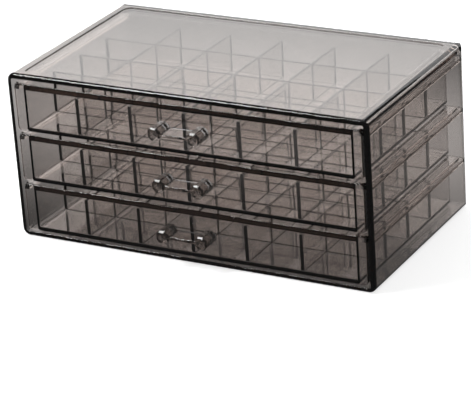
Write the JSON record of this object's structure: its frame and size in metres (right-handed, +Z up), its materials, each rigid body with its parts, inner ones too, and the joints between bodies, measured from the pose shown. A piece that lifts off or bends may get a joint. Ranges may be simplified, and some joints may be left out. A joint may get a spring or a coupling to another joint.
{
  "type": "compartment drawer box",
  "caption": "Smoky see-through plastic tabletop box: an open-fronted case with stacked sliding drawers, each split into small compartments by half-lapped divider strips.",
  "frame": {"origin": "middle of the case's flat base, on the surface it stands on", "axes": "+X to the right across the width, drawers open towards -Y, +Z up"},
  "size_m": [0.24, 0.1466, 0.1065],
  "materials": {
    "case_shell": "polished see-through smoky polystyrene",
    "top_tray": "polished see-through smoky polystyrene",
    "top_handle": "polished clear polystyrene",
    "top_cross_divider_1": "polished see-through smoky polystyrene",
    "top_cross_divider_2": "polished see-through smoky polystyrene",
    "top_cross_divider_3": "polished see-through smoky polystyrene",
    "top_depth_divider_1": "polished see-through smoky polystyrene",
    "top_depth_divider_2": "polished see-through smoky polystyrene",
    "top_depth_divider_3": "polished see-through smoky polystyrene",
    "top_depth_divider_4": "polished see-through smoky polystyrene",
    "top_depth_divider_5": "polished see-through smoky polystyrene",
    "middle_tray": "polished see-through smoky polystyrene",
    "middle_handle": "polished clear polystyrene",
    "middle_cross_divider_1": "polished see-through smoky polystyrene",
    "middle_cross_divider_2": "polished see-through smoky polystyrene",
    "middle_cross_divider_3": "polished see-through smoky polystyrene",
    "middle_depth_divider_1": "polished see-through smoky polystyrene",
    "middle_depth_divider_2": "polished see-through smoky polystyrene",
    "middle_depth_divider_3": "polished see-through smoky polystyrene",
    "middle_depth_divider_4": "polished see-through smoky polystyrene",
    "middle_depth_divider_5": "polished see-through smoky polystyrene",
    "bottom_tray": "polished see-through smoky polystyrene",
    "bottom_handle": "polished clear polystyrene",
    "bottom_cross_divider_1": "polished see-through smoky polystyrene",
    "bottom_cross_divider_2": "polished see-through smoky polystyrene",
    "bottom_cross_divider_3": "polished see-through smoky polystyrene",
    "bottom_depth_divider_1": "polished see-through smoky polystyrene",
    "bottom_depth_divider_2": "polished see-through smoky polystyrene",
    "bottom_depth_divider_3": "polished see-through smoky polystyrene",
    "bottom_depth_divider_4": "polished see-through smoky polystyrene",
    "bottom_depth_divider_5": "polished see-through smoky polystyrene"
  },
  "bodies": {
    "case": {"case_shell": "case_shell"},
    "top_drawer": {"top_tray": "top_tray", "top_handle": "top_handle", "top_cross_divider_1": "top_cross_divider_1", "top_cross_divider_2": "top_cross_divider_2", "top_cross_divider_3": "top_cross_divider_3", "top_depth_divider_1": "top_depth_divider_1", "top_depth_divider_2": "top_depth_divider_2", "top_depth_divider_3": "top_depth_divider_3", "top_depth_divider_4": "top_depth_divider_4", "top_depth_divider_5": "top_depth_divider_5"},
    "middle_drawer": {"middle_tray": "middle_tray", "middle_handle": "middle_handle", "middle_cross_divider_1": "middle_cross_divider_1", "middle_cross_divider_2": "middle_cross_divider_2", "middle_cross_divider_3": "middle_cross_divider_3", "middle_depth_divider_1": "middle_depth_divider_1", "middle_depth_divider_2": "middle_depth_divider_2", "middle_depth_divider_3": "middle_depth_divider_3", "middle_depth_divider_4": "middle_depth_divider_4", "middle_depth_divider_5": "middle_depth_divider_5"},
    "bottom_drawer": {"bottom_tray": "bottom_tray", "bottom_handle": "bottom_handle", "bottom_cross_divider_1": "bottom_cross_divider_1", "bottom_cross_divider_2": "bottom_cross_divider_2", "bottom_cross_divider_3": "bottom_cross_divider_3", "bottom_depth_divider_1": "bottom_depth_divider_1", "bottom_depth_divider_2": "bottom_depth_divider_2", "bottom_depth_divider_3": "bottom_depth_divider_3", "bottom_depth_divider_4": "bottom_depth_divider_4", "bottom_depth_divider_5": "bottom_depth_divider_5"}
  },
  "joints": [
    {"name": "top_drawer_slide", "type": "slide", "parent": "case", "child": "top_drawer", "axis": [0, -1, 0], "range_m": [0, 0.1]},
    {"name": "middle_drawer_slide", "type": "slide", "parent": "case", "child": "middle_drawer", "axis": [0, -1, 0], "range_m": [0, 0.1]},
    {"name": "bottom_drawer_slide", "type": "slide", "parent": "case", "child": "bottom_drawer", "axis": [0, -1, 0], "range_m": [0, 0.1]}
  ]
}
